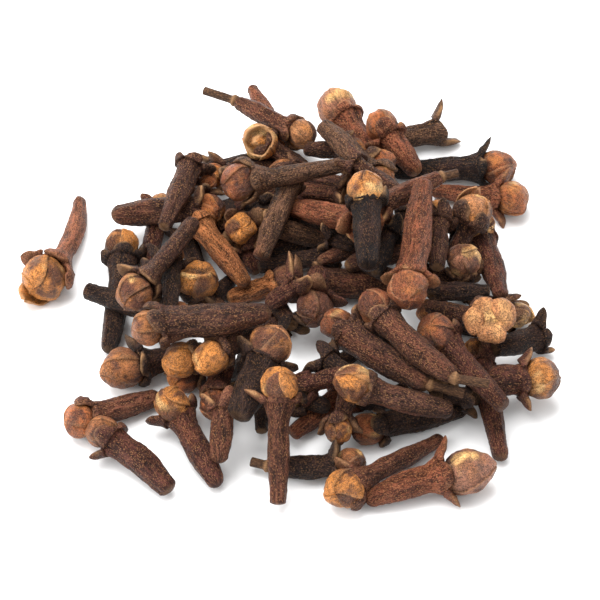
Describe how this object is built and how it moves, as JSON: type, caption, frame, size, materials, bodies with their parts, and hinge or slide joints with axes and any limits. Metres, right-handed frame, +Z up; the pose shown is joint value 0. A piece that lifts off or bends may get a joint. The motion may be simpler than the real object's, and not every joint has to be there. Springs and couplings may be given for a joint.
{
  "type": "heap of whole cloves",
  "caption": "Loose heap of dried whole cloves as poured out on a flat surface, with a clove lying apart beside it.",
  "frame": {"origin": "middle of the bounding box of the heap and the clove beside it, on the surface they lie on", "axes": "+Z up, -Y towards the heap's front, +X to the right as seen from the front"},
  "size_m": [0.0534, 0.056, 0.0142],
  "materials": {
    "dark_clove": "dry, finely wrinkled, with a slight oily sheen",
    "brown_clove": "dry, finely wrinkled, with a slight oily sheen"
  },
  "bodies": {
    "root": {"clove_heap": "dark_clove", "clove_beside": "brown_clove"}
  },
  "joints": []
}
